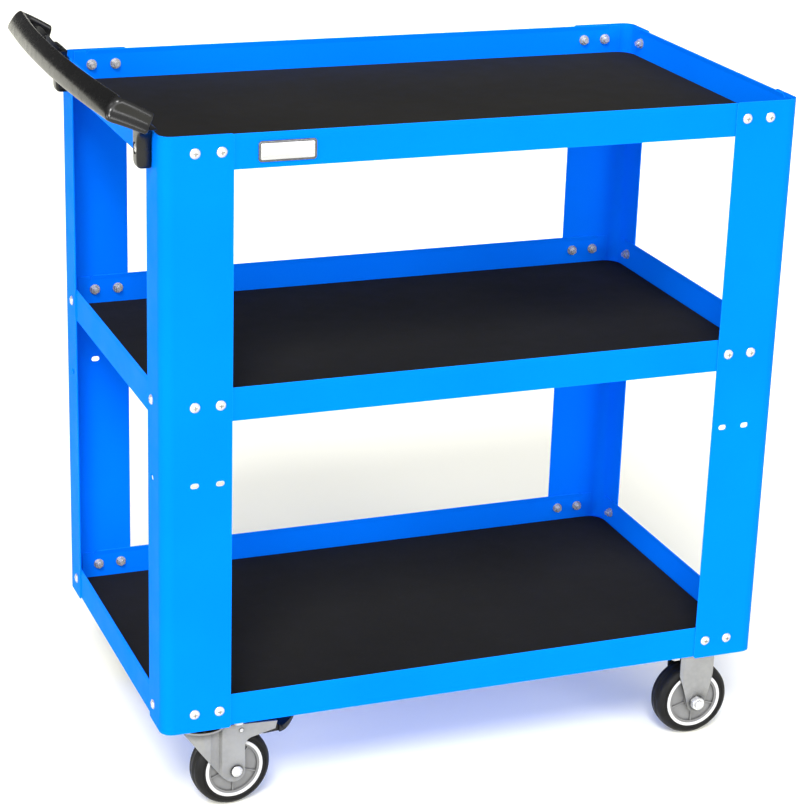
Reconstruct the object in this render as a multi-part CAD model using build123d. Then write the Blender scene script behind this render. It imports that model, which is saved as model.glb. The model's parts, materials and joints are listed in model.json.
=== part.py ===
"""Rolling utility cart: three sheet-steel trays on four corner posts, a push handle and four casters.

Frame: millimetres, +Z up, floor at z = 0, the cart's length along X with the handle at -X,
its depth along Y. The origin is the centre of the bounding box's bottom face.
"""
from build123d import *
import os
from math import sqrt

# ---- cart ----
clear_through = 80.0  # length of a cutting rod that passes right through a caster part
cart_length = 788.0
cart_depth = 463.0
post_bottom = 129.4
post_top = 856.0
post_sheet = 1.5
post_long_leg = 84.0
post_short_leg = 58.2
post_corner_radius = 15.0
post_end_radius = 3.0

# ---- trays ----
tray_tops = {"top": 855.0, "middle": 560.0, "bottom": 172.0}
tray_height = 40.2
tray_sheet = 1.2
tray_corner_gap = 16.0
hem_height = 5.5
hem_lean = 0.8
hem_edge_drop = 0.6
hem_root_drop = 0.8
hem_end_gap = 15.0
hem_mitre = 6.0
lip_step = 1.5
mat_thickness = 2.0
mat_edge_gap = 1.0
mat_corner_radius = 22.0

# ---- shelf fasteners (M6) ----
screw_radius = 3.0
screw_hole_radius = 3.4
screw_head_radius = 6.0
screw_head_height = 3.2
screw_head_rim = 0.8
screw_length = 11.0
cross_slot = (5.0, 1.1, 3.0)
nut_across_flats = 10.0
nut_height = 5.0
nut_flange_radius = 6.6
nut_flange_height = 1.3
nut_bore_radius = 3.04
row_below_top = 19.0
long_leg_holes = (39.3, 69.9)
short_leg_hole = 41.1
hole_reach = 6.0

# ---- spare shelf slots ----
slot_level = 445.0
slot_length = 10.5
slot_width = 7.0
slot_reach = 5.0

# ---- handle ----
grip_mid_reach = 73.5
grip_corner_reach = 62.5
grip_low = 879.6
grip_edge = 897.5
grip_mid_crest = 910.6
grip_corner_crest = 903.2
grip_width = 22.0
handle_half_width = 244.0
handle_corner_radius = 15.0
arm_inner = 202.0
arm_end_top = 882.0
arm_end_low = 864.0
arm_end_reach = 2.5
handle_leg_depth = 18.4
handle_leg_width = 19.0
handle_leg_bottom = 813.0
handle_wall = 3.0
handle_rib = 2.0
handle_screw_recess_radius = 7.0
handle_screw_recess_depth = 3.4
handle_screw_length = 26.0
crest_mid_setback = 11.8
crest_corner_setback = 28.5
edge_mid_setback = 0.8
edge_corner_setback = 16.0
cavity_half_width = 150.0
rib_spacing = 40.0
grip_stations = (-244.0, -160.0, -80.0, 0.0, 80.0, 160.0, 244.0)

# ---- name plate ----
plate_length = 68.0
plate_height = 24.0
plate_thickness = 2.0
plate_corner_radius = 4.0
plate_from_end = 146.0
plate_drop = 21.6  # tray top down to the plate's middle
plate_rim = 2.0
plate_recess = 0.5

# ---- casters ----
wheel_radius = 50.0
tyre_width = 32.0
tyre_shoulder = 7.0
rim_radius = 37.8
rim_inner_radius = 33.6
rim_width = 28.0
hub_web = 22.0
hub_boss_radius = 12.0
hub_boss_width = 35.0
bush_radius = 8.0
axle_radius = 5.0
running_gap = 0.05
thread_gap = 0.02
hub_flange = 2.5
hub_rib_sheet = 1.8
hub_rib_count = 5
hub_rib_start = 20.0
rim_stand_out = 1.2
rim_chamfer = (0.6, 0.8)
caster_x = 334.0
caster_y = 181.0
caster_trail = 40.0
swivel_rest_angle = 6.3
plate_x = 105.0
plate_y = 80.0
plate_sheet = 3.0
plate_corner = 8.0
plate_hole_x = 80.0
plate_hole_y = 60.0
plate_hole_radius = 4.3
caster_bolt_radius = 4.0
caster_bolt_head_radius = 8.0
caster_bolt_head_height = 1.0
caster_bolt_below = 7.5
caster_nut_inradius = 6.5
caster_nut_height = 6.5
mat_pocket_gap = (1.0, 0.2)
fork_sheet = 2.5
fork_half_width = 22.0
fork_groove = 2.6
fork_top = 116.0
race_radius = 30.0
race_drop = 10.0
race_clearance = 0.35
race_ball_radius = 3.0
race_ball_circle = 24.0
ball_count = 12
kingpin_radius = 6.0
kingpin_head_radius = 10.0
kingpin_head_height = 3.0
kingpin_gap = 0.3
axle_head_radius = 7.0
axle_head_rim = 1.6
axle_head_height = 4.6
axle_seat = 1.0
axle_thread_beyond = 9.0
axle_nut_inradius = 8.0
axle_nut_height = 7.0
pedal_pin_x = 6.0
pedal_pin_z = 54.5
pedal_pin_radius = 2.5
pedal_side_gap = 1.0
tread_half_width = 22.0
tread_start = 57.0
tread_grooves = (68.0, 74.0, 80.0)

half_x = cart_length / 2
half_y = cart_depth / 2
shift_x = (grip_mid_reach - screw_head_height) / 2
left_end = shift_x - half_x
right_end = shift_x + half_x
caster_plate_top = tray_tops["bottom"] - tray_height
caster_plate_bottom = caster_plate_top - plate_sheet
race_ball_level = caster_plate_bottom - race_drop - race_clearance
row_levels = {name: top - row_below_top for name, top in tray_tops.items()}
caster_places = {
    "front_left": (shift_x - caster_x, -caster_y),
    "back_left": (shift_x - caster_x, caster_y),
    "front_right": (shift_x + caster_x, -caster_y),
    "back_right": (shift_x + caster_x, caster_y),
}


def centred_box(sizes, centre):
    return Pos(*centre) * Box(*sizes)


def span_box(low, high):
    sizes = [b - a for a, b in zip(low, high)]
    centre = [(a + b) / 2 for a, b in zip(low, high)]
    return Pos(*centre) * Box(*sizes)


def rounded_slab(low, high, radius):
    width, depth = high[0] - low[0], high[1] - low[1]
    outline = RectangleRounded(width, depth, radius)
    centre = ((low[0] + high[0]) / 2, (low[1] + high[1]) / 2, low[2])
    return Pos(*centre) * extrude(outline, high[2] - low[2])


def rod(start, direction, radius, length):
    """A cylinder from start along direction."""
    return extrude(Plane(origin=start, z_dir=direction) * Circle(radius), length)


def cross_hole(x, z, radius):
    """A rod along Y that cuts a hole through a caster part at (x, z)."""
    return rod((x, -clear_through / 2, z), (0, 1, 0), radius, clear_through)


def write(node, shape):
    export_step(shape, f"parts/{node}.step")


# ---- places of the shelf fasteners ----
def row_places(level):
    """Every fastener of one shelf: (point on the post's outer face, outward normal)."""
    places = []
    for side_x in (-1, 1):
        for side_y in (-1, 1):
            for offset in long_leg_holes:
                x = shift_x + side_x * (half_x - offset)
                places.append(((x, side_y * half_y, level), (0, side_y, 0)))
            y = side_y * (half_y - short_leg_hole)
            places.append(((shift_x + side_x * half_x, y, level), (side_x, 0, 0)))
    return places


def is_handle_place(point, level):
    return point[0] < left_end + 1 and level > tray_tops["middle"]


def through_holes(levels):
    """The cutting rods of every fastener hole at the levels."""
    holes = []
    for level in levels:
        for point, normal in row_places(level):
            start = tuple(p + n for p, n in zip(point, normal))
            inward = tuple(-n for n in normal)
            holes.append(rod(start, inward, screw_hole_radius, hole_reach))
    return holes


# ---- posts ----
def post(side_x, side_y):
    height = post_top - post_bottom
    outer = RectangleRounded(2 * post_long_leg, 2 * post_short_leg, post_corner_radius)
    inner = RectangleRounded(
        2 * (post_long_leg - post_sheet),
        2 * (post_short_leg - post_sheet),
        post_corner_radius - post_sheet,
    )
    ring = extrude(outer - inner, height)
    keep = span_box((0, 0, 0), (post_long_leg, post_short_leg, height))
    corner = ring & keep
    long_end = corner.faces().filter_by(Axis.X).sort_by(Axis.X)[0]
    short_end = corner.faces().filter_by(Axis.Y).sort_by(Axis.Y)[0]
    ends = [edge for edge in long_end.edges() + short_end.edges() if edge.length < post_sheet + 0.01]
    corner = fillet(ends, post_end_radius)
    corner = Pos(half_x - post_long_leg, half_y - post_short_leg, post_bottom) * corner
    if side_x < 0:
        corner = mirror(corner, Plane.YZ)
    if side_y < 0:
        corner = mirror(corner, Plane.XZ)
    corner = Pos(shift_x, 0, 0) * corner
    for hole in through_holes(row_levels.values()):
        corner -= hole
    for point, normal in row_places(slot_level):
        along = (normal[1], normal[0], 0)
        face = Plane(origin=point, x_dir=along, z_dir=normal)
        corner -= extrude(face * SlotOverall(slot_length, slot_width), slot_reach, both=True)
    return corner


# ---- trays ----
def lip(length):
    """One lip, outer face at y = 0 and inner side towards +Y, centred on x = 0, bottom at z = 0."""
    body_height = tray_height - hem_height
    wall = Pos(0, tray_sheet / 2, body_height / 2) * Box(length, tray_sheet, body_height)
    end_height = hem_height - lip_step
    hem_base = length - 2 * hem_end_gap
    for side in (-1, 1):
        x = side * (length / 2 - hem_end_gap / 2)
        z = body_height + end_height / 2
        wall += Pos(x, tray_sheet / 2, z) * Box(hem_end_gap, tray_sheet, end_height)
    profile = Polyline(
        (0, body_height),
        (hem_lean, tray_height),
        (hem_lean + tray_sheet, tray_height - hem_edge_drop),
        (tray_sheet, body_height - hem_root_drop),
        (0, body_height - hem_root_drop),
        close=True,
    )
    hem = extrude(Plane.YZ * make_face(profile), hem_base / 2, both=True)
    above = tray_height + 1
    for side in (-1, 1):
        mitre = Polyline(
            (side * hem_base / 2, body_height),
            (side * (hem_base / 2 - hem_mitre), above),
            (side * (hem_base / 2 + hem_mitre), above),
            close=True,
        )
        hem -= extrude(Plane.XZ * make_face(mitre), hem_lean + 2 * tray_sheet, both=True)
    return wall + hem


def tray(name):
    top = tray_tops[name]
    bottom = top - tray_height
    outer_x = half_x - post_sheet
    outer_y = half_y - post_sheet
    low = (-outer_x, -outer_y, bottom)
    high = (outer_x, outer_y, bottom + tray_sheet)
    body = rounded_slab(low, high, post_corner_radius)
    long_lip = lip(2 * (outer_x - tray_corner_gap))
    short_lip = lip(2 * (outer_y - tray_corner_gap))
    for turn, wall, reach in ((0, long_lip, outer_y), (90, short_lip, outer_x)):
        for flip in (0, 180):
            body += Pos(0, 0, bottom) * Rot(0, 0, turn + flip) * Pos(0, -reach, 0) * wall
    body = Pos(shift_x, 0, 0) * body
    for hole in through_holes([row_levels[name]]):
        body -= hole
    if name == "bottom":
        for x, y in caster_bolt_places():
            body -= rod((x, y, bottom - 1), (0, 0, 1), plate_hole_radius, tray_sheet + 2)
    return body


def mat(name):
    bottom = tray_tops[name] - tray_height + tray_sheet
    reach_x = half_x - post_sheet - tray_sheet - mat_edge_gap
    reach_y = half_y - post_sheet - tray_sheet - mat_edge_gap
    low = (shift_x - reach_x, -reach_y, bottom)
    high = (shift_x + reach_x, reach_y, bottom + mat_thickness)
    sheet = rounded_slab(low, high, mat_corner_radius)
    side_gap, top_gap = mat_pocket_gap
    pocket_radius = caster_bolt_head_radius + side_gap
    pocket_depth = caster_bolt_head_height + top_gap
    if name == "bottom":
        for x, y in caster_bolt_places():
            sheet -= rod((x, y, bottom + pocket_depth), (0, 0, -1), pocket_radius, 2 * pocket_depth)
    return sheet


# ---- shelf screws and nuts ----
def domed_head(radius, rim, height):
    """A round head on z = 0: a straight rim, then a spherical dome up to height."""
    rise = height - rim
    sphere = (radius**2 + rise**2) / (2 * rise)
    middle = radius * 0.55
    middle_z = height - sphere + sqrt(sphere**2 - middle**2)
    profile = make_face(
        Polyline((0, height), (0, 0), (radius, 0), (radius, rim))
        + ThreePointArc((radius, rim), (middle, middle_z), (0, height))
    )
    return revolve(Plane.XZ * profile, Axis.Z)


def pan_head_screw(point, normal, length):
    """A cross-recess pan-head screw, seated with its head's underside on point."""
    head = domed_head(screw_head_radius, screw_head_rim, screw_head_height)
    for turn in (0, 90):
        head -= Pos(0, 0, screw_head_height) * Rot(0, 0, turn) * Box(*cross_slot)
    shank = extrude(Circle(screw_radius), -length)
    place = Plane(origin=point, z_dir=normal)
    return place.location * (head + shank)


def shelf_screws(name):
    level = row_levels[name]
    return [
        pan_head_screw(point, normal, screw_length)
        for point, normal in row_places(level)
        if not is_handle_place(point, level)
    ]


def flange_nut(point, normal):
    """A hexagon flange nut whose flange seats on point, standing along normal."""
    body = extrude(RegularPolygon(nut_across_flats / 2, 6, major_radius=False), nut_height)
    body &= Pos(0, 0, nut_height / 2) * Sphere(nut_across_flats * 0.62)
    body += extrude(Circle(nut_flange_radius), nut_flange_height)
    body -= extrude(Circle(nut_bore_radius), nut_height)
    return Plane(origin=point, z_dir=normal).location * body


def shelf_nuts(name):
    depth = post_sheet + tray_sheet
    nuts = []
    for point, normal in row_places(row_levels[name]):
        seat = tuple(p - depth * n for p, n in zip(point, normal))
        nuts.append(flange_nut(seat, tuple(-n for n in normal)))
    return nuts


# ---- handle ----
def grip_section(y, inset=0.0):
    """The grip's outline in the plane y = constant, inset towards its inside."""
    share = (y / handle_half_width) ** 2
    reach = grip_mid_reach + (grip_corner_reach - grip_mid_reach) * share
    crest_setback = crest_mid_setback + (crest_corner_setback - crest_mid_setback) * share
    edge_setback = edge_mid_setback + (edge_corner_setback - edge_mid_setback) * share
    outermost = left_end - grip_mid_reach
    crest_x = outermost + crest_setback
    crest_z = grip_mid_crest + (grip_corner_crest - grip_mid_crest) * share
    low_x = left_end - reach
    inner_x = low_x + grip_width
    outline = Polyline(
        (low_x + inset, grip_low),
        (outermost + edge_setback + inset, grip_edge - inset * 0.5),
        (crest_x, crest_z - inset * 1.3),
        (max(inner_x, crest_x + 6) - inset, crest_z - 11 - inset * 0.5),
        (inner_x - inset, grip_low),
        close=True,
    )
    return make_face(Plane(origin=(0, y, 0), x_dir=(1, 0, 0), z_dir=(0, -1, 0)) * outline)


def handle_grip():
    """The curved bar across the cart, hollow from below with cross ribs."""
    grip = loft([grip_section(y) for y in grip_stations])
    cavity = loft([grip_section(y, handle_wall) for y in grip_stations[1:-1]])
    low = (left_end - 2 * grip_mid_reach, -cavity_half_width, 0)
    high = (left_end, cavity_half_width, grip_mid_crest)
    cavity &= span_box(low, high)
    for index in range(-3, 4):
        cavity -= centred_box((80, handle_rib, 80), (left_end - 60, index * rib_spacing, grip_low))
    return grip - cavity


def handle_arm():
    """The +Y arm from the grip back to the cart, open on its inner side."""
    end_x = left_end - arm_end_reach
    corner_x = left_end - grip_corner_reach
    crest_x = left_end - grip_mid_reach + crest_corner_setback
    profile = Polyline(
        (end_x, arm_end_low),
        (end_x - 14, arm_end_low),
        (end_x - 42, arm_end_low + 7),
        (corner_x, grip_low),
        (corner_x + 5, grip_edge),
        (crest_x, grip_corner_crest),
        (end_x, arm_end_top),
        close=True,
    )
    face = Plane(origin=(0, arm_inner, 0), x_dir=(1, 0, 0), z_dir=(0, -1, 0)) * profile
    arm = extrude(make_face(face), handle_half_width - arm_inner, dir=(0, 1, 0))
    low = (crest_x + 2, arm_inner - 1, arm_end_low + handle_wall)
    high = (end_x - 20, handle_half_width - handle_wall, arm_end_top - 1)
    return arm - span_box(low, high)


def handle_leg():
    """The +Y leg that is screwed to the post, with the bracket that spreads up into the arm."""
    leg_y = half_y - short_leg_hole
    low_y, high_y = leg_y - handle_leg_width / 2, leg_y + handle_leg_width / 2
    outline = make_face(
        Polyline((low_y, handle_leg_bottom), (high_y, handle_leg_bottom), (high_y, 846))
        + ThreePointArc((high_y, 846), (high_y + 12, 859), (handle_half_width, arm_end_low))
        + Polyline(
            (handle_half_width, arm_end_low),
            (handle_half_width, arm_end_top),
            (arm_inner + 4, arm_end_top),
            (low_y, 866),
            (low_y, handle_leg_bottom),
        )
    )
    leg = Pos(left_end, 0, 0) * extrude(Plane.YZ * outline, handle_leg_depth, dir=(-1, 0, 0))
    end_x = left_end - arm_end_reach
    return leg - span_box((end_x, 0, post_top + 0.5), (end_x + 10, 300, 1000))


def handle_footprint():
    """The handle's outline seen from above as a tall block, for trimming its corners round."""
    end_x = left_end - arm_end_reach
    corner_x = left_end - grip_corner_reach
    half = handle_half_width
    outline = make_face(
        Polyline((end_x, -half), (corner_x, -half))
        + ThreePointArc((corner_x, -half), (left_end - grip_mid_reach - 0.5, 0), (corner_x, half))
        + Polyline((corner_x, half), (end_x, half), (end_x, -half))
    )
    block = extrude(Pos(0, 0, 780) * outline, 160)
    outer_corners = block.edges().filter_by(Axis.Z).sort_by(Axis.X)[:2]
    return fillet(outer_corners, handle_corner_radius)


def handle():
    body = handle_grip()
    for part in (handle_arm(), handle_leg()):
        body += part
        body += mirror(part, Plane.XZ)
    body &= handle_footprint() + span_box((left_end - 30, -300, 780), (left_end, 300, post_top + 0.5))
    for side in (-1, 1):
        y = side * (half_y - short_leg_hole)
        start = (left_end - handle_leg_depth - 1, y, row_levels["top"])
        body -= rod(start, (1, 0, 0), handle_screw_recess_radius, 1 + handle_screw_recess_depth)
        body -= rod(start, (1, 0, 0), screw_hole_radius, 2 * handle_leg_depth)
    return body


def handle_screws():
    seat = left_end - handle_leg_depth + handle_screw_recess_depth
    places = [(seat, side * (half_y - short_leg_hole), row_levels["top"]) for side in (-1, 1)]
    return [pan_head_screw(place, (-1, 0, 0), handle_screw_length) for place in places]


# ---- name plate ----
def name_plate():
    """A blank plate with a raised rim on the top tray's front lip."""
    centre = (left_end + plate_from_end, -half_y + post_sheet, tray_tops["top"] - plate_drop)
    face = Plane(origin=centre, x_dir=(1, 0, 0), z_dir=(0, -1, 0))
    outline = RectangleRounded(plate_length, plate_height, plate_corner_radius)
    inset = RectangleRounded(
        plate_length - 2 * plate_rim,
        plate_height - 2 * plate_rim,
        plate_corner_radius - plate_rim / 2,
    )
    slab = extrude(face * outline, plate_thickness)
    return slab - extrude(face.offset(plate_thickness - plate_recess) * inset, plate_recess)


# ---- casters ----
def caster_bolt_places():
    places = []
    for cx, cy in caster_places.values():
        for side_x in (-1, 1):
            for side_y in (-1, 1):
                places.append((cx + side_x * plate_hole_x / 2, cy + side_y * plate_hole_y / 2))
    return places


def caster_bolts():
    top = caster_plate_top + tray_sheet
    length = tray_sheet + plate_sheet + caster_bolt_below
    bolts = []
    for x, y in caster_bolt_places():
        head = rod((x, y, top), (0, 0, 1), caster_bolt_head_radius, caster_bolt_head_height)
        bolts.append(head + rod((x, y, top), (0, 0, -1), caster_bolt_radius, length))
    return bolts


def caster_nuts():
    nuts = []
    for x, y in caster_bolt_places():
        nut = extrude(RegularPolygon(caster_nut_inradius, 6, major_radius=False), -caster_nut_height)
        nut -= extrude(Circle(caster_bolt_radius + 2 * thread_gap), -caster_nut_height)
        nuts.append(Pos(x, y, caster_plate_bottom) * nut)
    return nuts


def top_plate():
    """A flat plate with rounded corners, its top face at z = caster_plate_top, centred on the axis."""
    low = (-plate_x / 2, -plate_y / 2, caster_plate_bottom)
    high = (plate_x / 2, plate_y / 2, caster_plate_top)
    plate = rounded_slab(low, high, plate_corner)
    for side_x in (-1, 1):
        for side_y in (-1, 1):
            start = (side_x * plate_hole_x / 2, side_y * plate_hole_y / 2, caster_plate_bottom - 1)
            plate -= rod(start, (0, 0, 1), plate_hole_radius, plate_sheet + 2)
    return plate


def swivel_plate():
    """Top plate with the pressed upper raceway and the hole that holds the kingpin."""
    plate = top_plate()
    collar = rod((0, 0, caster_plate_bottom), (0, 0, -1), race_radius, race_drop)
    groove_place = Pos(0, 0, caster_plate_bottom - race_drop)
    groove = groove_place * Torus(race_ball_circle, race_ball_radius + race_clearance)
    plate = plate + collar - groove
    plate -= rod((0, 0, caster_plate_top + 1), (0, 0, -1), kingpin_radius, 2 * race_drop)
    return plate


def race_balls():
    ball = Pos(race_ball_circle, 0, race_ball_level) * Sphere(race_ball_radius)
    return [Rot(0, 0, 360.0 * index / ball_count) * ball for index in range(ball_count)]


def kingpin():
    """The rivet that holds the fork up against the balls, with its head under the fork."""
    top = caster_plate_top - 1
    head_top = fork_top - fork_sheet - kingpin_gap
    shaft = rod((0, 0, top), (0, 0, -1), kingpin_radius, top - head_top)
    return shaft + rod((0, 0, head_top), (0, 0, -1), kingpin_head_radius, kingpin_head_height)


def fork_plan(half_width):
    """Outline of the swivel fork seen from above: two arms joined by a round web at the kingpin."""
    web_x = -caster_trail
    front = 55.0
    near = half_width
    web = half_width - 1.0
    valley = half_width - fork_groove
    return make_face(
        Polyline((front, -near), (-19, -near), (-22, -valley))
        + ThreePointArc((-22, -valley), (-28, -valley), (-34, -web))
        + Line((-34, -web), (web_x, -web))
        + ThreePointArc((web_x, -web), (web_x - web, 0), (web_x, web))
        + Line((web_x, web), (-34, web))
        + ThreePointArc((-34, web), (-28, valley), (-22, valley))
        + Polyline((-22, valley), (-19, near), (front, near), (front, -near))
    )


def swivel_fork():
    """Pressed fork in the wheel's frame: axle at the origin, kingpin at x = -caster_trail, z up."""
    top = fork_top - wheel_radius
    outer = extrude(fork_plan(fork_half_width), 120)
    inner = extrude(fork_plan(fork_half_width - fork_sheet), 120)
    inner += span_box((50, -fork_half_width + fork_sheet, 0), (60, fork_half_width - fork_sheet, 120))
    walls = Pos(0, 0, -40) * (outer - inner)
    side = make_face(
        Polyline((-64, top), (-64, 57), (-22, -1), (-15, -8))
        + ThreePointArc((-15, -8), (-9, -12.5), (-2, -14))
        + ThreePointArc((-2, -14), (7.5, -10.5), (11.5, -1))
        + Polyline((11.5, -1), (11, 33))
        + ThreePointArc((11, 33), (14.5, 39.5), (22, 42.5))
        + Polyline((22, 42.5), (51.5, 47.5), (54, 57.5), (-19, 65), (-64, top))
    )
    walls &= extrude(Plane.XZ * side, 40, both=True)
    crown_disc = rod((-caster_trail, 0, top - fork_sheet), (0, 0, 1), race_radius + 3, fork_sheet)
    low = (-caster_trail, -fork_half_width, top - fork_sheet)
    fork = walls + crown_disc + span_box(low, (-12, fork_half_width, top - 1))
    fork -= rod((-caster_trail, 0, top - 10), (0, 0, 1), kingpin_radius + running_gap, 20)
    race = Torus(race_ball_circle, race_ball_radius)
    fork -= Pos(-caster_trail, 0, race_ball_level - wheel_radius) * race
    fork -= cross_hole(0, 0, axle_radius)
    fork -= cross_hole(pedal_pin_x, pedal_pin_z, pedal_pin_radius)
    return fork


def fixed_bracket():
    """Rigid caster bracket: top plate and two curved cheeks in one pressing, axle at the origin."""
    top = caster_plate_top - wheel_radius
    cheek = make_face(
        Polyline((-24, top - 1), (-24, 38), (-11, -8))
        + ThreePointArc((-11, -8), (0, -14), (11, -8))
        + Polyline((11, -8), (24, 38), (24, top - 1), (-24, top - 1))
    )
    bracket = Pos(0, 0, -wheel_radius) * top_plate()
    shoulder = fork_half_width - 0.6
    section = make_face(
        Polyline((-25, 17.5), (-20, shoulder))
        + ThreePointArc((-20, shoulder), (0, fork_half_width + axle_seat), (20, shoulder))
        + Polyline((20, shoulder), (25, 17.5), (22.5, 16.8), (19, 18.2))
        + ThreePointArc((19, 18.2), (0, fork_half_width + axle_seat - fork_sheet), (-19, 18.2))
        + Polyline((-19, 18.2), (-22.5, 16.8), (-25, 17.5))
    )
    sheet = Pos(0, 0, -20) * extrude(section, 120)
    sheet &= extrude(Plane.XZ * cheek, 40, both=True)
    bracket += sheet + mirror(sheet, Plane.XZ)
    return bracket - cross_hole(0, 0, axle_radius)


def axle_bolt(head_side=-1):
    """Axle through the fork: domed head at -Y, thread for the nut at +Y."""
    reach = fork_half_width + axle_seat
    head = domed_head(axle_head_radius, axle_head_rim, axle_head_height)
    head = Plane(origin=(0, -reach, 0), z_dir=(0, -1, 0)).location * head
    shaft = rod((0, -reach, 0), (0, 1, 0), axle_radius - thread_gap, 2 * reach + axle_thread_beyond)
    bolt = head + shaft
    return bolt if head_side < 0 else mirror(bolt, Plane.XZ)


def axle_nut(head_side=-1):
    reach = fork_half_width + axle_seat
    nut = extrude(RegularPolygon(axle_nut_inradius, 6, major_radius=False), axle_nut_height)
    nut &= Pos(0, 0, 2.0) * Sphere(1.2 * axle_nut_inradius)
    nut -= extrude(Circle(axle_radius + thread_gap), axle_nut_height)
    nut = Plane(origin=(0, reach, 0), z_dir=(0, 1, 0)).location * nut
    return nut if head_side < 0 else mirror(nut, Plane.XZ)


def tyre():
    """The tyre as a body of revolution about Y, with rounded shoulders."""
    half = tyre_width / 2
    wall = wheel_radius - tyre_shoulder
    tread = half - 10.0
    mid_radius, mid_y = wheel_radius - 2.0, half - 3.2
    half_profile = (
        Line((wheel_radius, 0), (wheel_radius, tread))
        + ThreePointArc((wheel_radius, tread), (mid_radius, mid_y), (wall, half))
        + Polyline((wall, half), (rim_radius + 1, half), (rim_radius, half - 1), (rim_radius, 0))
        + Line((rim_radius, 0), (wheel_radius, 0))
    )
    side = revolve(make_face(half_profile), Axis.Y)
    return side + mirror(side, Plane.XZ)


def rim():
    """The light ring between tyre and hub, a little proud of both."""
    half = rim_width / 2 + rim_stand_out
    proud, slope = rim_chamfer
    profile = Polyline(
        (rim_inner_radius, -half),
        (rim_inner_radius + slope, -half - proud),
        (rim_radius - slope, -half - proud),
        (rim_radius, -half),
        (rim_radius, half),
        (rim_radius - slope, half + proud),
        (rim_inner_radius + slope, half + proud),
        (rim_inner_radius, half),
        close=True,
    )
    return revolve(make_face(profile), Axis.Y)


def disc(radius, width):
    """A cylinder about Y, centred on the wheel."""
    return rod((0, -width / 2, 0), (0, 1, 0), radius, width)


def hub():
    """Moulded wheel centre: a web with radial ribs, a boss at the axle and a flange at the rim."""
    flange = disc(rim_inner_radius, rim_width) - disc(rim_inner_radius - hub_flange, rim_width)
    body = disc(rim_inner_radius, hub_web) + disc(hub_boss_radius, hub_boss_width) + flange
    rib_half = rim_width / 2 - 1
    rib = span_box((0, -rib_half, -hub_rib_sheet / 2), (rim_inner_radius - 1, rib_half, hub_rib_sheet / 2))
    for index in range(hub_rib_count):
        body += Rot(0, 360.0 * index / hub_rib_count + hub_rib_start, 0) * rib
    return body - cross_hole(0, 0, bush_radius)


def bush():
    return disc(bush_radius, hub_boss_width + 1.0) - cross_hole(0, 0, axle_radius + running_gap)


def brake_pedal():
    """Foot pedal with the brake shoe under it, in the wheel's frame."""
    shoe = ((1.5, 57.5), (1.5, 52.0), (10.0, 50.8), (24.0, 48.4), (32.0, 43.2), (38.0, 41.6), (60.0, 41.6))
    top = ((88.0, 48.0), (87.0, 52.0), (62.0, 49.0), (50.0, 52.5), (30.0, 56.5), (10.0, 60.0), (1.5, 57.5))
    side = make_face(Polyline(*shoe) + ThreePointArc(shoe[-1], (75.0, 43.2), top[0]) + Polyline(*top))
    half = fork_half_width - fork_sheet - pedal_side_gap
    pedal = extrude(Plane.XZ * side, half, both=True)
    wide = extrude(Plane.XZ * side, tread_half_width, both=True)
    pedal += wide & span_box((tread_start, -tread_half_width, 38.0), (90.0, tread_half_width, 60.0))
    for x in tread_grooves:
        pedal -= centred_box((1.6, 34.0, 3.0), (x, 0, 52.0))
    return pedal - cross_hole(pedal_pin_x, pedal_pin_z, pedal_pin_radius + running_gap)


def pedal_pin():
    reach = fork_half_width + 0.8
    return rod((pedal_pin_x, -reach, pedal_pin_z), (0, 1, 0), pedal_pin_radius, 2 * reach)


def wheel_nodes(tag):
    return {f"tyre_{tag}": tyre(), f"rim_{tag}": rim(), f"hub_{tag}": hub(), f"wheel_bush_{tag}": bush()}


def wheel_place(tag):
    """Where the wheel's frame sits: swivel casters trail behind their kingpin, turned a little."""
    x, y = caster_places[tag]
    if tag.endswith("right"):
        return Pos(x, y, wheel_radius)
    return Pos(x, y, wheel_radius) * Rot(0, 0, swivel_rest_angle) * Pos(caster_trail, 0, 0)


def as_group(solids):
    return Compound(children=list(solids))


def main():
    os.makedirs("parts", exist_ok=True)
    for side_x, name_x in ((-1, "left"), (1, "right")):
        for side_y, name_y in ((-1, "front"), (1, "back")):
            write(f"post_{name_y}_{name_x}", post(side_x, side_y))
    for name in tray_tops:
        write(f"{name}_tray", tray(name))
        write(f"{name}_mat", mat(name))
        write(f"{name}_shelf_screws", as_group(shelf_screws(name)))
        write(f"{name}_shelf_nuts", as_group(shelf_nuts(name)))
    write("push_handle", handle())
    write("handle_screws", as_group(handle_screws()))
    write("name_plate", name_plate())
    write("caster_bolts", as_group(caster_bolts()))
    write("caster_nuts", as_group(caster_nuts()))
    fixed_bolts = []
    fixed_nuts = []
    for tag, (x, y) in caster_places.items():
        place = wheel_place(tag)
        for node, shape in wheel_nodes(tag).items():
            write(node, place * shape)
        if tag.endswith("right"):
            write(f"bracket_{tag}", place * fixed_bracket())
            fixed_bolts.append(place * axle_bolt(1))
            fixed_nuts.append(place * axle_nut(1))
            continue
        write(f"swivel_plate_{tag}", Pos(x, y, 0) * swivel_plate())
        write(f"kingpin_{tag}", Pos(x, y, 0) * kingpin())
        write(f"race_balls_{tag}", as_group(Pos(x, y, 0) * ball for ball in race_balls()))
        write(f"fork_{tag}", place * swivel_fork())
        write(f"axle_bolt_{tag}", place * axle_bolt())
        write(f"axle_nut_{tag}", place * axle_nut())
        write(f"brake_pedal_{tag}", place * brake_pedal())
        write(f"pedal_pin_{tag}", place * pedal_pin())
    write("fixed_axle_bolts", as_group(fixed_bolts))
    write("fixed_axle_nuts", as_group(fixed_nuts))


main()
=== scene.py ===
"""Rolling utility cart: materials, refined meshes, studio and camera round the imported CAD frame."""

import json
import math

import bmesh
import bpy
from mathutils import Matrix, Vector


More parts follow.
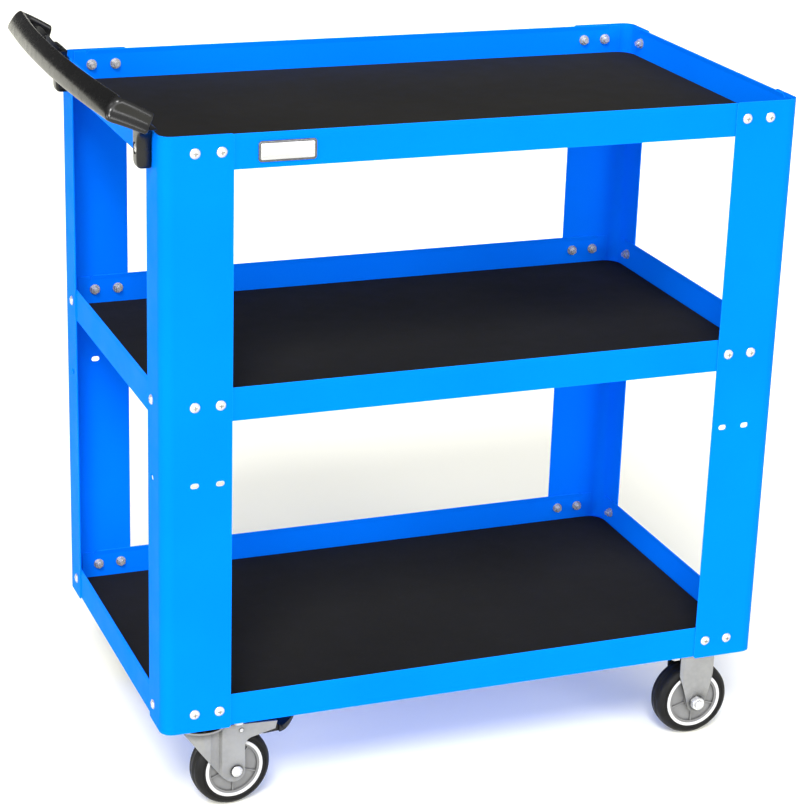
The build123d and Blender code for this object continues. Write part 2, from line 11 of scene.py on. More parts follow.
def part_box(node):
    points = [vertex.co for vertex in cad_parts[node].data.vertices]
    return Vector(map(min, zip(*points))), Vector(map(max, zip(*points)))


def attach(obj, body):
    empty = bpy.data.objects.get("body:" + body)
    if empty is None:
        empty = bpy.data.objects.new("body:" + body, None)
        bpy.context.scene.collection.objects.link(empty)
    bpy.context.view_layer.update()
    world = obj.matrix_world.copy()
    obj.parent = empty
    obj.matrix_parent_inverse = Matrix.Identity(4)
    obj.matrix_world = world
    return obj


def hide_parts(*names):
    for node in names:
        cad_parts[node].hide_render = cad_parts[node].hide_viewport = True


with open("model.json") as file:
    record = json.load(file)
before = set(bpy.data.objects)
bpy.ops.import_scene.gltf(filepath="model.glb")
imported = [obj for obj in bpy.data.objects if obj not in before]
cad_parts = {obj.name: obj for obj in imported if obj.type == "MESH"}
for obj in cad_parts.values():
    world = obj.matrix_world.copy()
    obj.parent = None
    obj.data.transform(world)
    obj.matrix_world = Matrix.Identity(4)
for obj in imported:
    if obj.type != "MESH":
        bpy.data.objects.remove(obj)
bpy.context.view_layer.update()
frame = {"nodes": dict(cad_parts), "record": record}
nodes = frame["nodes"]
mm = 0.001

# ---------------------------------------------------------------- camera, metres and degrees
camera_place = Vector((-1.0463, -2.7139, 1.5020))
camera_heading = 21.39
camera_pitch = 20.48
camera_roll = 1.82
camera_lens = 108.54
camera_shift = (0.0024, 0.0149)


def add_camera():
    heading, pitch, roll = (math.radians(a) for a in (camera_heading, camera_pitch, camera_roll))
    level = Vector((math.sin(heading), math.cos(heading), 0))
    forward = level * math.cos(pitch) - Vector((0, 0, math.sin(pitch)))
    right = Vector((math.cos(heading), -math.sin(heading), 0))
    up = right.cross(forward)
    axis_x = right * math.cos(roll) + up * math.sin(roll)
    axis_y = up * math.cos(roll) - right * math.sin(roll)
    data = bpy.data.cameras.new("camera")
    data.sensor_width = 36
    data.lens = camera_lens
    data.shift_x, data.shift_y = camera_shift
    data.clip_end = 200
    camera = bpy.data.objects.new("camera", data)
    bpy.context.scene.collection.objects.link(camera)
    turn = Matrix((axis_x, axis_y, -forward)).transposed()
    camera.matrix_world = Matrix.Translation(camera_place) @ turn.to_4x4()
    bpy.context.scene.camera = camera


add_camera()


# ---------------------------------------------------------------- studio
world_fade = 0.8  # how far towards straight front or straight back the surroundings keep changing
floor_half_side = 40


def add_sun(name, direction, strength, angle):
    """A soft white sun; direction is the way its light travels, angle its width in degrees."""
    data = bpy.data.lights.new(name, "SUN")
    data.energy = strength
    data.angle = math.radians(angle)
    light = bpy.data.objects.new(name, data)
    light.rotation_euler = Vector(direction).to_track_quat("-Z", "Y").to_euler()
    bpy.context.scene.collection.objects.link(light)


def set_range(node, low, high, to_low, to_high):
    """Sets a Map Range node to take low..high to to_low..to_high."""
    for socket, number in (("From Min", low), ("From Max", high), ("To Min", to_low), ("To Max", to_high)):
        node.inputs[socket].default_value = number


def add_world(front, back):
    """White surroundings that are brighter on the front side of the cart than behind it."""
    world = bpy.data.worlds.new("studio")
    bpy.context.scene.world = world
    world.use_nodes = True
    tree = world.node_tree
    direction = tree.nodes.new("ShaderNodeTexCoord")
    parts = tree.nodes.new("ShaderNodeSeparateXYZ")
    fade = tree.nodes.new("ShaderNodeMapRange")
    set_range(fade, -world_fade, world_fade, front, back)
    background = tree.nodes["Background"]
    background.inputs["Color"].default_value = (1, 1, 1, 1)
    tree.links.new(direction.outputs["Generated"], parts.inputs["Vector"])
    tree.links.new(parts.outputs["Y"], fade.inputs["Value"])
    tree.links.new(fade.outputs["Result"], background.inputs["Strength"])


def add_floor(half_side):
    mesh = bpy.data.meshes.new("floor")
    shape = bmesh.new()
    signs = ((-1, -1), (1, -1), (1, 1), (-1, 1))
    shape.faces.new([shape.verts.new((x * half_side, y * half_side, 0)) for x, y in signs])
    shape.to_mesh(mesh)
    shape.free()
    floor = bpy.data.objects.new("floor", mesh)
    bpy.context.scene.collection.objects.link(floor)
    surface = bpy.data.materials.new("floor_paper")
    surface.use_nodes = True
    shader = surface.node_tree.nodes["Principled BSDF"]
    shader.inputs["Base Color"].default_value = (0.93, 0.92, 0.81, 1)
    shader.inputs["Roughness"].default_value = 0.9
    shader.inputs["Specular IOR Level"].default_value = 0.1
    shader.inputs["Emission Color"].default_value = (1, 1, 1, 1)
    shader.inputs["Emission Strength"].default_value = 0.13
    mesh.materials.append(surface)


bpy.context.scene.view_settings.view_transform = "Standard"
add_world(1.25, 0.11)
add_sun("key", (0.38, 0.77, -0.855), 2.3, 16)
add_sun("front", (0.2, 0.97, -0.16), 1.35, 50)
add_sun("front_right", (-0.34, 0.89, -0.29), 0.8, 24)
add_sun("left", (0.97, 0.2, -0.18), 2.3, 40)
add_floor(floor_half_side)


# ---------------------------------------------------------------- material helpers
probe_samples = 6  # rays that the edge and crevice nodes send out
flat_cosine, edge_cosine = 0.97, 0.80  # between the true and the rounded normal


class Surface:
    """One procedural material, with the few node patterns that the finishes share."""

    def __init__(self, name, colour, roughness, metallic=0.0, specular=0.5):
        self.material = bpy.data.materials.new(name)
        self.material.use_nodes = True
        self.tree = self.material.node_tree
        self.shader = self.tree.nodes["Principled BSDF"]
        self.colour = colour
        self.shader.inputs["Base Color"].default_value = (*colour, 1)
        self.shader.inputs["Roughness"].default_value = roughness
        self.shader.inputs["Metallic"].default_value = metallic
        self.shader.inputs["Specular IOR Level"].default_value = specular
        self.place = self.node("ShaderNodeTexCoord").outputs["Object"]
        self.normal = None

    def node(self, kind, **settings):
        made = self.tree.nodes.new(kind)
        for key, value in settings.items():
            setattr(made, key, value)
        return made

    def put(self, node, socket, value):
        if isinstance(value, bpy.types.NodeSocket):
            self.tree.links.new(value, node.inputs[socket])
        else:
            node.inputs[socket].default_value = value

    def stretched(self, scale):
        mapping = self.node("ShaderNodeMapping")
        self.put(mapping, "Vector", self.place)
        self.put(mapping, "Scale", scale)
        return mapping.outputs["Vector"]

    def noise(self, size, detail=2.0, stretch=None):
        """Noise whose features are about size metres."""
        made = self.node("ShaderNodeTexNoise")
        self.put(made, "Vector", self.stretched(stretch) if stretch else self.place)
        self.put(made, "Scale", 1 / size)
        self.put(made, "Detail", detail)
        return made.outputs["Fac"]

    def cells(self, size):
        """Distance to the nearest of points that lie about size metres apart."""
        made = self.node("ShaderNodeTexVoronoi")
        self.put(made, "Vector", self.place)
        self.put(made, "Scale", 1 / size)
        return made.outputs["Distance"]

    def spread(self, value, low, high, to_low, to_high):
        made = self.node("ShaderNodeMapRange")
        set_range(made, low, high, to_low, to_high)
        self.put(made, "Value", value)
        return made.outputs["Result"]

    def mix(self, factor, first, second):
        """A colour mix; its factor and two colours are sockets 0, 6 and 7, its result is output 2."""
        made = self.node("ShaderNodeMix", data_type="RGBA")
        self.put(made, 0, factor)
        self.put(made, 6, first)
        self.put(made, 7, second)
        return made.outputs[2]

    def vary_colour(self, value, other, low=0.35, high=0.65):
        """Goes from the colour so far to other where value rises from low to high."""
        mixed = self.mix(self.spread(value, low, high, 0, 1), self.current_colour(), (*other, 1))
        self.put(self.shader, "Base Color", mixed)

    def current_colour(self):
        links = self.shader.inputs["Base Color"].links
        return links[0].from_socket if links else (*self.colour, 1)

    def vary_roughness(self, value, to_low, to_high, low=0.3, high=0.7):
        self.put(self.shader, "Roughness", self.spread(value, low, high, to_low, to_high))

    def bump(self, height, depth, strength=1.0):
        made = self.node("ShaderNodeBump")
        self.put(made, "Height", height)
        self.put(made, "Distance", depth)
        self.put(made, "Strength", strength)
        if self.normal:
            self.put(made, "Normal", self.normal)
        self.normal = made.outputs["Normal"]
        self.put(self.shader, "Normal", self.normal)

    def highlight_near_edges(self, reach):
        """1 within about reach metres of a sharp edge, 0 elsewhere: where painted highlights go."""
        bevel = self.node("ShaderNodeBevel", samples=probe_samples)
        self.put(bevel, "Radius", reach)
        geometry = self.node("ShaderNodeNewGeometry")
        made = self.node("ShaderNodeVectorMath", operation="DOT_PRODUCT")
        self.put(made, 0, bevel.outputs["Normal"])
        self.put(made, 1, geometry.outputs["Normal"])
        return self.spread(made.outputs["Value"], flat_cosine, edge_cosine, 0, 1)

    def shade_in_crevices(self, reach, open_level=0.85, closed_level=0.35):
        """1 where surfaces within reach metres crowd round, 0 in the open: where painted shade goes."""
        made = self.node("ShaderNodeAmbientOcclusion", samples=probe_samples)
        self.put(made, "Distance", reach)
        return self.spread(made.outputs["AO"], open_level, closed_level, 0, 1)


# ---------------------------------------------------------------- finishes
# One function for each slot of the record, and handle_inside and name_plate_rim for some of the pieces.
brushed = (0.04, 1, 1)  # draws a pattern out along X


def blue_paint():
    paint = Surface("blue_paint", (0.0004, 0.150, 0.84), 0.38, specular=0.003)
    paint.vary_colour(paint.noise(0.22, 3), (0.0004, 0.164, 0.87))
    # Painted highlight: paler blue along the sheet's edges.
    paint.vary_colour(paint.highlight_near_edges(0.0009), (0.01, 0.30, 0.90), 0.1, 1.1)
    paint.vary_roughness(paint.noise(0.05, 4), 0.30, 0.46)
    paint.bump(paint.noise(0.0016, 2), 0.00012, 0.35)
    return paint.material


def mat_rubber():
    rubber = Surface("mat_rubber", (0.0160, 0.0152, 0.0130), 0.76, specular=0.05)
    rubber.vary_colour(rubber.noise(0.16, 4), (0.0182, 0.0173, 0.0149))
    rubber.vary_colour(rubber.noise(0.004, 5), (0.024, 0.023, 0.021), 0.60, 0.80)
    rubber.vary_roughness(rubber.noise(0.03, 5), 0.72, 0.82)
    rubber.bump(rubber.noise(0.0011, 3), 0.00025, 0.5)
    return rubber.material


def zinc_fasteners():
    zinc = Surface("zinc_fasteners", (0.62, 0.62, 0.625), 0.24, metallic=0.55)
    zinc.vary_colour(zinc.noise(0.004, 4), (0.52, 0.52, 0.525))
    # Painted shade: darker brown-grey in the crevices round the fasteners.
    zinc.vary_colour(zinc.shade_in_crevices(0.003), (0.20, 0.19, 0.18), 0.2, 1.2)
    zinc.vary_roughness(zinc.noise(0.002, 4), 0.16, 0.36)
    zinc.bump(zinc.noise(0.0007, 3), 0.00006, 0.4)
    return zinc.material


def zinc_pressing():
    zinc = Surface("zinc_pressing", (0.30, 0.30, 0.302), 0.36, metallic=0.85)
    zinc.vary_colour(zinc.cells(0.006), (0.265, 0.266, 0.27), 0.2, 0.9)
    zinc.vary_colour(zinc.noise(0.05, 3), (0.34, 0.34, 0.342))
    # Painted shade: near-black in the folds and crevices of the pressings.
    zinc.vary_colour(zinc.shade_in_crevices(0.016, 0.985, 0.72), (0.05, 0.05, 0.05), 0.0, 1.0)
    zinc.vary_roughness(zinc.noise(0.006, 5), 0.32, 0.46)
    zinc.bump(zinc.noise(0.0009, 3), 0.00008, 0.5)
    return zinc.material


def ball_steel():
    steel = Surface("ball_steel", (0.62, 0.62, 0.63), 0.12, metallic=1.0)
    steel.vary_colour(steel.noise(0.002, 3), (0.50, 0.50, 0.51))
    steel.vary_roughness(steel.noise(0.001, 3), 0.08, 0.2)
    return steel.material


def handle_plastic():
    plastic = Surface("handle_plastic", (0.0015, 0.0015, 0.0016), 0.24, specular=0.45)
    plastic.vary_colour(plastic.noise(0.03, 3), (0.0028, 0.0028, 0.0029))
    plastic.vary_roughness(plastic.noise(0.012, 4), 0.20, 0.30)
    plastic.bump(plastic.noise(0.0009, 2), 0.00003, 0.06)
    return plastic.material


def handle_inside():
    """The duller inner side of the handle's moulding, with painted highlights on the rib edges."""
    plastic = Surface("handle_inside", (0.0022, 0.0022, 0.0023), 0.55, specular=0.10)
    plastic.vary_colour(plastic.noise(0.01, 3), (0.0032, 0.0032, 0.0033))
    # Painted highlight: pale grey along the rib edges.
    plastic.vary_colour(plastic.highlight_near_edges(0.0009), (0.10, 0.10, 0.10), 0.1, 0.9)
    plastic.vary_roughness(plastic.noise(0.008, 4), 0.48, 0.64)
    plastic.bump(plastic.noise(0.0008, 2), 0.00005, 0.3)
    return plastic.material


def pedal_plastic():
    plastic = Surface("pedal_plastic", (0.005, 0.005, 0.0052), 0.4, specular=0.35)
    plastic.vary_colour(plastic.noise(0.012, 4), (0.009, 0.009, 0.0093))
    plastic.vary_roughness(plastic.noise(0.006, 4), 0.32, 0.5)
    plastic.bump(plastic.noise(0.0007, 2), 0.00008, 0.5)
    return plastic.material


def name_plate_metal():
    metal = Surface("name_plate_metal", (0.62, 0.62, 0.63), 0.34, metallic=0.7)
    metal.vary_colour(metal.noise(0.0012, 4, brushed), (0.50, 0.50, 0.51))
    metal.vary_roughness(metal.noise(0.0012, 3, brushed), 0.22, 0.42)
    metal.bump(metal.noise(0.0008, 3, brushed), 0.00005, 0.5)
    return metal.material


def name_plate_rim():
    metal = Surface("name_plate_rim", (0.16, 0.16, 0.165), 0.32, metallic=0.8)
    metal.vary_colour(metal.noise(0.003, 4), (0.11, 0.11, 0.115))
    metal.vary_roughness(metal.noise(0.002, 3), 0.26, 0.42)
    metal.bump(metal.noise(0.0006, 3), 0.00004, 0.4)
    return metal.material


def tyre_rubber():
    rubber = Surface("tyre_rubber", (0.0042, 0.0042, 0.0044), 0.5, specular=0.16)
    rubber.vary_colour(rubber.noise(0.02, 5), (0.0075, 0.0075, 0.0077))
    rubber.vary_roughness(rubber.noise(0.008, 5), 0.40, 0.62)
    rubber.bump(rubber.noise(0.0009, 3), 0.00012, 0.5)
    return rubber.material


def rim_white():
    rim = Surface("rim_white", (0.56, 0.56, 0.565), 0.34, specular=0.4)
    rim.vary_colour(rim.noise(0.02, 4), (0.50, 0.50, 0.505))
    # Painted shade: darker in the rim's crevices.
    rim.vary_colour(rim.shade_in_crevices(0.002), (0.20, 0.20, 0.20), 0.3, 1.0)
    rim.vary_roughness(rim.noise(0.006, 4), 0.28, 0.42)
    rim.bump(rim.noise(0.0009, 2), 0.00005, 0.4)
    return rim.material


def hub_grey():
    hub = Surface("hub_grey", (0.175, 0.175, 0.176), 0.45, specular=0.3)
    hub.vary_colour(hub.noise(0.012, 5), (0.155, 0.155, 0.156))
    # Painted shade: darker in the hub's crevices.
    hub.vary_colour(hub.shade_in_crevices(0.006), (0.07, 0.07, 0.07), 0.2, 1.0)
    hub.vary_roughness(hub.noise(0.005, 4), 0.38, 0.55)
    hub.bump(hub.noise(0.0008, 2), 0.00008, 0.5)
    return hub.material


def bush_nylon():
    nylon = Surface("bush_nylon", (0.42, 0.42, 0.40), 0.45, specular=0.5)
    nylon.vary_colour(nylon.noise(0.006, 4), (0.34, 0.34, 0.32))
    nylon.vary_roughness(nylon.noise(0.004, 3), 0.4, 0.55)
    return nylon.material


finishes = {
    made.__name__: made()
    for made in (
        blue_paint, mat_rubber, zinc_fasteners, zinc_pressing, ball_steel, handle_plastic, handle_inside,
        pedal_plastic, name_plate_metal, name_plate_rim, tyre_rubber, rim_white, hub_grey, bush_nylon,
    )
}

for part in frame["record"]["subparts"]:
    part_materials = nodes[part["node"]].data.materials
    part_materials.clear()
    part_materials.append(finishes[part["material_slot"]])


# ---------------------------------------------------------------- mesh helpers
def ease(share):
    """From 0 to 1 as share does, starting and ending slowly."""
    return share * share * (3 - 2 * share)


def middle(name):
    low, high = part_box(name)
    return (low + high) / 2


def skin(rings):
    """A closed mesh through rings of equal length, each a list of points round one section."""
    shape = bmesh.new()
    rows = [[shape.verts.new(point) for point in ring] for ring in rings]
    count = len(rows[0])
    for near, far in zip(rows, rows[1:]):
        for i in range(count):
            j = (i + 1) % count
            shape.faces.new((near[i], near[j], far[j], far[i]))
    shape.faces.new(list(reversed(rows[0])))
    shape.faces.new(rows[-1])
    bmesh.ops.recalc_face_normals(shape, faces=shape.faces)
    return shape


def add_piece(name, shape, body, slot, stands_for=(), levels=0, sharp=None, finish=None):
    """Turns a bmesh into a smooth-shaded piece that rides on a CAD body, with its slot's or its own finish.

    levels is its subdivision; edges sharper than sharp degrees stay crisp.
    """
    mesh = bpy.data.meshes.new(name)
    shape.to_mesh(mesh)
    shape.free()
    piece = bpy.data.objects.new(name, mesh)
    bpy.context.scene.collection.objects.link(piece)
    mesh.materials.append(finishes[finish or slot])
    mesh.shade_smooth()
    if levels:
        subdivide = piece.modifiers.new("subdivide", "SUBSURF")
        subdivide.levels = subdivide.render_levels = levels
    if sharp:
        mesh.set_sharp_from_angle(angle=math.radians(sharp))
    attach(piece, body)
    if stands_for:
        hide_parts(*stands_for)
    return piece


# ---------------------------------------------------------------- push handle
post_low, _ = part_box("post_front_left")
handle_low, handle_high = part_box("push_handle")
handle_outermost = handle_low.x
handle_half_width = handle_high.y

# The bar's section is a ring of rails. Each rail runs along the grip, round the corner and back along
# the arm. Its numbers are millimetres, apart from the eighth:
#   setback of the grip from the handle's outermost line, at the middle and at the corner;
#   depth of the arm from its outer side; corner radius;
#   level at the middle, the corner and the arm's end; how late along the grip the level changes;
#   gap between the arm's end and the post.
bar_rails = (
    (0.0, 9.8, -1.6, 6, 879.2, 878.8, 860.0, 6, 17.0),
    (0.0, 10.6, -2.6, 6, 888.0, 887.5, 867.0, 5, 15.4),
    (0.8, 13.4, 4.4, 7, 897.5, 895.5, 872.5, 4, 12.4),
    (6.3, 19.4, 1.0, 8, 904.6, 903.0, 878.8, 2, 9.4),
    (11.0, 24.6, 3.6, 8, 910.1, 907.0, 883.6, 2, 6.8),
    (12.4, 26.4, 5.4, 8, 910.4, 907.2, 884.0, 2, 6.4),
    (18.0, 32.0, 8.6, 8, 904.0, 901.5, 880.6, 2, 7.5),
    (21.0, 34.0, 6.8, 8, 893.0, 891.0, 874.0, 2, 11.0),
    (22.0, 34.5, 7.2, 8, 885.0, 884.0, 868.0, 2, 14.0),
    (22.0, 36.0, 27.0, 6, 882.0, 881.0, 866.0, 2, 12.0),
    (21.5, 35.5, 27.0, 6, 879.2, 878.0, 862.0, 2, 12.0),
)
grip_steps, corner_steps, arm_steps = 18, 8, 8
arm_fall_power = 1.2  # 1 would be a straight fall from the grip's end to the arm's end


def rail_points(rail):
    """One rail from the middle of the grip to the +Y arm's end."""
    setback_mid, setback_corner, depth, radius, level_mid, level_corner, level_end, late, end_gap = rail
    turn_x = handle_outermost + (setback_corner + radius) * mm
    turn_y = handle_half_width - (depth + radius) * mm
    end_x = post_low.x - end_gap * mm
    corner_length = math.pi / 2 * radius * mm
    bend_length = corner_length + end_x - turn_x

    def fallen_level(run):
        """Level after run metres from the grip's end, round the corner and along the arm."""
        return (level_corner + (level_end - level_corner) * (run / bend_length) ** arm_fall_power) * mm

    points = []
    for index in range(grip_steps + 1):
        share = index / grip_steps
        setback = setback_mid + (setback_corner - setback_mid) * share**2
        level = level_mid + (level_corner - level_mid) * share**late
        points.append(Vector((handle_outermost + setback * mm, turn_y * share, level * mm)))
    for index in range(1, corner_steps + 1):
        angle = math.pi / 2 * index / corner_steps
        x = turn_x - radius * mm * math.cos(angle)
        y = turn_y + radius * mm * math.sin(angle)
        points.append(Vector((x, y, fallen_level(corner_length * index / corner_steps))))
    for index in range(1, arm_steps + 1):
        run = (end_x - turn_x) * index / arm_steps
        points.append(Vector((turn_x + run, turn_y + radius * mm, fallen_level(corner_length + run))))
    return points


def handle_bar():
    far_half = list(zip(*[rail_points(rail) for rail in bar_rails]))
    near_half = [[Vector((p.x, -p.y, p.z)) for p in ring] for ring in reversed(far_half[1:])]
    return skin(near_half + far_half)


leg_y = 190.4 * mm
leg_half_width = 9.3 * mm
leg_depth = 17.6 * mm
leg_edge_radius = 3.0 * mm
leg_gap = 0.4 * mm  # between the leg and the post
arm_gap = 2.6 * mm  # the same where the leg widens into the arm
arm_from_level = 855  # millimetres
foot_side_share = 0.6  # how much of the foot's rounding its two sides get
leg_steps = (
    # level, inset of the foot's rounding, spread outwards, spread towards the cart's middle; millimetres
    (813.0, 5.5, 0, 0), (814.4, 2.4, 0, 0), (817.0, 0.7, 0, 0), (821.0, 0.0, 0, 0), (834.0, 0.0, 0, 0),
    (845.0, 0.0, 0, 0), (852.0, 0.0, 3, 0), (858.0, 0.0, 9, 1), (862.0, 0.0, 20, 3), (865.0, 0.0, 34, 5),
    (867.0, 1.5, 38, 6),
)


def leg_ring(low_x, high_x, low_y, high_y, level, side):
    """One level section of a leg: a rectangle with rounded corners."""
    left, right = low_x + leg_edge_radius, high_x - leg_edge_radius
    near, far = low_y + leg_edge_radius, high_y - leg_edge_radius
    ring = []
    for x, y, turn in ((left, near, 180), (right, near, 270), (right, far, 0), (left, far, 90)):
        for step in (0, 30, 60, 90):
            angle = math.radians(turn + step)
            edge_x = x + leg_edge_radius * math.cos(angle)
            edge_y = y + leg_edge_radius * math.sin(angle)
            ring.append(Vector((edge_x, side * edge_y, level * mm)))
    return ring


def leg_rings(side):
    """Sections of one leg from its rounded foot up into the arm's floor."""
    rings = []
    for level, inset, outward, inward in leg_steps:
        low_x = post_low.x - leg_depth + inset * mm
        high_x = post_low.x - (arm_gap if level > arm_from_level else leg_gap)
        low_y = leg_y - leg_half_width - inward * mm + inset * mm * foot_side_share
        high_y = leg_y + leg_half_width + outward * mm - inset * mm * foot_side_share
        rings.append(leg_ring(low_x, high_x, low_y, high_y, level, side))
    return rings


recess_level = 836 * mm
recess_radius = 7 * mm
recess_length = 7 * mm  # of the cutter, half of it outside the leg


def add_screw_recess(leg, side):
    """Cuts the round pocket that the handle screw sits in."""
    shape = bmesh.new()
    centre = Vector((post_low.x - leg_depth, side * leg_y, recess_level))
    turn = Matrix.Rotation(math.pi / 2, 4, "Y")
    bmesh.ops.create_cone(
        shape, cap_ends=True, segments=48, radius1=recess_radius, radius2=recess_radius, depth=recess_length,
        matrix=Matrix.Translation(centre) @ turn,
    )
    mesh = bpy.data.meshes.new(f"recess_{side}")
    shape.to_mesh(mesh)
    shape.free()
    cutter = bpy.data.objects.new(f"recess_{side}", mesh)
    bpy.context.scene.collection.objects.link(cutter)
    cut = leg.modifiers.new("recess", "BOOLEAN")
    cut.object = cutter
    cut.operation = "DIFFERENCE"
    bpy.context.view_layer.update()
    evaluated = leg.evaluated_get(bpy.context.evaluated_depsgraph_get())
    final = bpy.data.meshes.new_from_object(evaluated)
    leg.modifiers.clear()
    leg.data = final
    final.set_sharp_from_angle(angle=math.radians(40))
    bpy.data.objects.remove(cutter)


rib_steps = 12
rib_thickness = 2.6 * mm
rib_crown = 0.8  # height of a rib's narrowed top, millimetres
leg_ribs = {
    # start, bend and end in plan (out from the post, from the cart's middle line),
    # level of the top at start and end, level of the bottom at start and end; millimetres
    "outer": ((46, 160), (24, 214), (5, 197), (901, 868), (880, 862)),
    "inner": ((42, 128), (24, 176), (5, 184), (896, 866), (880, 860)),
}


def rib_rings(side, places, tops, bottoms):
    """A curved upright rib from the grip's inner side round to the leg, in plan a quadratic curve."""
    start, bend, end = (Vector((post_low.x - out * mm, across * mm)) for out, across in places)
    rings = []
    for index in range(rib_steps + 1):
        t = index / rib_steps
        spot = start * (1 - t) ** 2 + bend * 2 * t * (1 - t) + end * t * t
        along = ((bend - start) * (1 - t) + (end - bend) * t).normalized()
        across = Vector((-along.y, along.x)) * rib_thickness / 2
        top = tops[0] + (tops[1] - tops[0]) * ease(t)
        bottom = bottoms[0] + (bottoms[1] - bottoms[0]) * t
        shoulder = top - rib_crown
        section = ((-1, bottom), (-1, shoulder), (-0.5, top), (0.5, top), (1, shoulder), (1, bottom))
        ring = []
        for sign, level in section:
            place = spot + across * sign
            ring.append(Vector((place.x, side * place.y, level * mm)))
        rings.append(ring)
    return rings


def build_handle():
    add_piece("handle_bar", handle_bar(), "cart_frame", "handle_plastic", ("push_handle",), levels=2)
    for side, tag in ((-1, "front"), (1, "back")):
        leg = add_piece(f"handle_leg_{tag}", skin(leg_rings(side)), "cart_frame", "handle_plastic", levels=2)
        add_screw_recess(leg, side)
        for name, (*places, tops, bottoms) in leg_ribs.items():
            add_piece(
                f"handle_rib_{name}_{tag}", skin(rib_rings(side, places, tops, bottoms)),
                "cart_frame", "handle_plastic", sharp=30, finish="handle_inside",
            )


build_handle()

# ---------------------------------------------------------------- rubber mats
mat_corner = 22 * mm
mat_wave = 0.35 * mm
mat_wave_inset = 45  # millimetres from the mat's edge to where its waves have their full height
mat_steps = (
    # drawn in, height below the top; millimetres
    (0.0, 2.0), (0.0, 0.9), (0.25, 0.35), (0.8, 0.05), (2.0, 0.0), (8.0, 0.0), (22.0, 0.0), (45.0, 0.0),
    (75.0, 0.0), (110.0, 0.0), (150.0, 0.0), (190.0, 0.0), (215.0, 0.0),
)
least_corner = 2 * mm


def rounded_outline(low, high, inset, radius, corner_points=10, side_points=16):
    """Points round a rectangle with rounded corners, drawn in by inset."""
    low_x, low_y, high_x, high_y = low.x + inset, low.y + inset, high.x - inset, high.y - inset
    radius = max(radius - inset, least_corner)
    centres = (
        (high_x - radius, high_y - radius, 0), (low_x + radius, high_y - radius, 90),
        (low_x + radius, low_y + radius, 180), (high_x - radius, low_y + radius, 270),
    )

    def on_corner(corner, turned):
        x, y, start = centres[corner % 4]
        angle = math.radians(start + turned)
        return Vector((x + radius * math.cos(angle), y + radius * math.sin(angle)))

    outline = []
    for corner in range(4):
        outline += [on_corner(corner, 90 * step / corner_points) for step in range(corner_points + 1)]
        last, target = outline[-1].copy(), on_corner(corner + 1, 0)
        outline += [last.lerp(target, step / side_points) for step in range(1, side_points)]
    return outline


def wave(x, y):
    """The slight unevenness of a rubber sheet that lies loose in its tray, in metres."""
    slow = math.sin(11 * x + 2.1) * math.sin(13 * y + 0.4)
    quick = math.sin(29 * x - 17 * y) * 0.4
    return mat_wave * (slow + quick)


def build_mat(name):
    """A loose rubber sheet: rounded upper edge, faint waves, flat underside."""
    low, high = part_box(f"{name}_mat")
    rings = []
    for inset, below in mat_steps:
        loose = min(inset / mat_wave_inset, 1)
        outline = rounded_outline(low, high, inset * mm, mat_corner)
        rings.append([Vector((p.x, p.y, high.z - below * mm + loose * wave(p.x, p.y))) for p in outline])
    add_piece(f"{name}_mat_sheet", skin(rings), "cart_frame", "mat_rubber", (f"{name}_mat",), sharp=50)


for shelf in ("top", "middle", "bottom"):
    build_mat(shelf)


# ---------------------------------------------------------------- name plate
plate_corner = 4 * mm
# each step of the plate's two pieces: drawn in, set back from the CAD plate's front; millimetres
plate_rim_steps = ((0, 2.0), (0, 0.7), (0.4, 0.2), (0.9, 0.0), (2.0, 0.0), (2.4, 0.8))
plate_panel_steps = ((2.5, 1.2), (2.5, 0.2), (2.8, -0.1), (3.3, -0.2))


def plate_rings(steps):
    """Upright rounded rings on the name plate, one for each step."""
    low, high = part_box("name_plate")
    flat_low, flat_high = Vector((low.x, low.z)), Vector((high.x, high.z))
    rings = []
    for inset, back in steps:
        outline = rounded_outline(flat_low, flat_high, inset * mm, plate_corner, 8, 8)
        rings.append([Vector((p.x, low.y + back * mm, p.y)) for p in outline])
    return rings


def build_name_plate():
    """A blank plate: dark rim with a rounded edge, pale raised panel."""
    rim, panel = skin(plate_rings(plate_rim_steps)), skin(plate_rings(plate_panel_steps))
    add_piece(
        "name_plate_frame", rim, "cart_frame", "name_plate_metal", ("name_plate",),
        sharp=40, finish="name_plate_rim",
    )
    add_piece("name_plate_panel", panel, "cart_frame", "name_plate_metal", sharp=40)


build_name_plate()


# ---------------------------------------------------------------- tyres
tyre_steps = 96
tyre_half = (
    # distance from the wheel's middle plane, radius; millimetres
    (0.0, 49.95), (0.5, 49.9), (0.8, 49.7), (5.4, 49.6), (6.0, 49.3), (6.6, 49.5), (9.6, 49.0), (12.6, 47.5),
    (14.8, 45.3), (15.7, 43.2), (15.75, 41.9), (15.2, 41.6), (15.2, 41.0), (15.75, 40.7), (15.7, 39.0),
    (15.0, 38.1), (14.2, 37.85),
)


def axle_direction(tag):
    """Level direction of a wheel's axle: square to its trail on a swivel caster, else along Y."""
    if tag.endswith("right"):
        return Vector((0, 1, 0))
    trail = middle(f"tyre_{tag}") - middle(f"kingpin_{tag}")
    return Vector((-trail.y, trail.x, 0)).normalized()


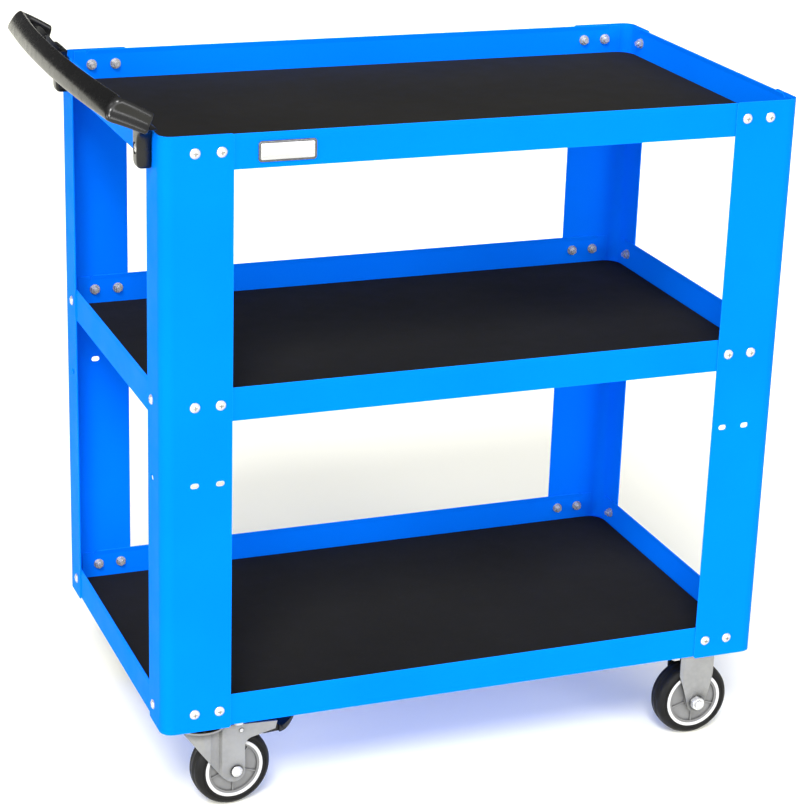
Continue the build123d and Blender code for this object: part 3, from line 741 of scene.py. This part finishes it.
def build_tyre(tag):
    """A moulded tyre: crowned tread with a seam and two fine grooves, rounded shoulders, ringed walls."""
    centre = middle(f"tyre_{tag}")
    axle = axle_direction(tag)
    level = Vector((axle.y, -axle.x, 0))
    section = list(tyre_half) + [(-across, radius) for across, radius in reversed(tyre_half[1:])]
    shape = bmesh.new()
    rows = []
    for step in range(tyre_steps):
        angle = 2 * math.pi * step / tyre_steps
        spoke = level * math.cos(angle) + Vector((0, 0, math.sin(angle)))
        places = [centre + axle * across * mm + spoke * radius * mm for across, radius in section]
        rows.append([shape.verts.new(place) for place in places])
    for step in range(tyre_steps):
        row, after = rows[step], rows[(step + 1) % tyre_steps]
        for i in range(len(section)):
            j = (i + 1) % len(section)
            shape.faces.new((row[i], row[j], after[j], after[i]))
    bmesh.ops.recalc_face_normals(shape, faces=shape.faces)
    add_piece(f"moulded_tyre_{tag}", shape, f"wheel_{tag}", "tyre_rubber", (f"tyre_{tag}",), sharp=45)


for tag in ("front_left", "back_left", "front_right", "back_right"):
    build_tyre(tag)


# ---------------------------------------------------------------- brake pedals
# The reshaping begins at horn_start from the wheel's middle, and would be complete at horn_end.
horn_start, horn_end = 57 * mm, 90 * mm
horn_shortening = 0.22  # share of its length that the tread loses beyond horn_start
horn_narrowing = 0.55  # share of its width that would be gone at horn_end
horn_narrowing_power = 1.6
horn_rise = 6 * mm  # how far up it would be at horn_end


def build_pedal(tag):
    """The CAD pedal's outline with its tread drawn into a short tapering horn that curls up."""
    node = nodes[f"brake_pedal_{tag}"]
    centre = middle(f"tyre_{tag}")
    axle = axle_direction(tag)
    trail = Vector((axle.y, -axle.x, 0))
    shape = bmesh.new()
    shape.from_mesh(node.data)
    shape.transform(node.matrix_world)
    bmesh.ops.remove_doubles(shape, verts=shape.verts, dist=1e-6)
    bmesh.ops.dissolve_limit(shape, angle_limit=math.radians(2), verts=shape.verts, edges=shape.edges)
    tread = [e for e in shape.edges if min((v.co - centre).dot(trail) for v in e.verts) > horn_start - 2 * mm]
    bmesh.ops.subdivide_edges(shape, edges=tread, cuts=4, use_grid_fill=True)
    for vert in shape.verts:
        offset = vert.co - centre
        beyond = offset.dot(trail) - horn_start
        if beyond <= 0:
            continue
        share = beyond / (horn_end - horn_start)
        vert.co -= trail * beyond * horn_shortening
        vert.co -= axle * offset.dot(axle) * horn_narrowing * share**horn_narrowing_power
        vert.co.z += horn_rise * share**2
    bmesh.ops.triangulate(shape, faces=[f for f in shape.faces if len(f.verts) > 4])
    add_piece(f"pedal_horn_{tag}", shape, f"brake_{tag}", "pedal_plastic", (f"brake_pedal_{tag}",), sharp=32)


for tag in ("front_left", "back_left"):
    build_pedal(tag)
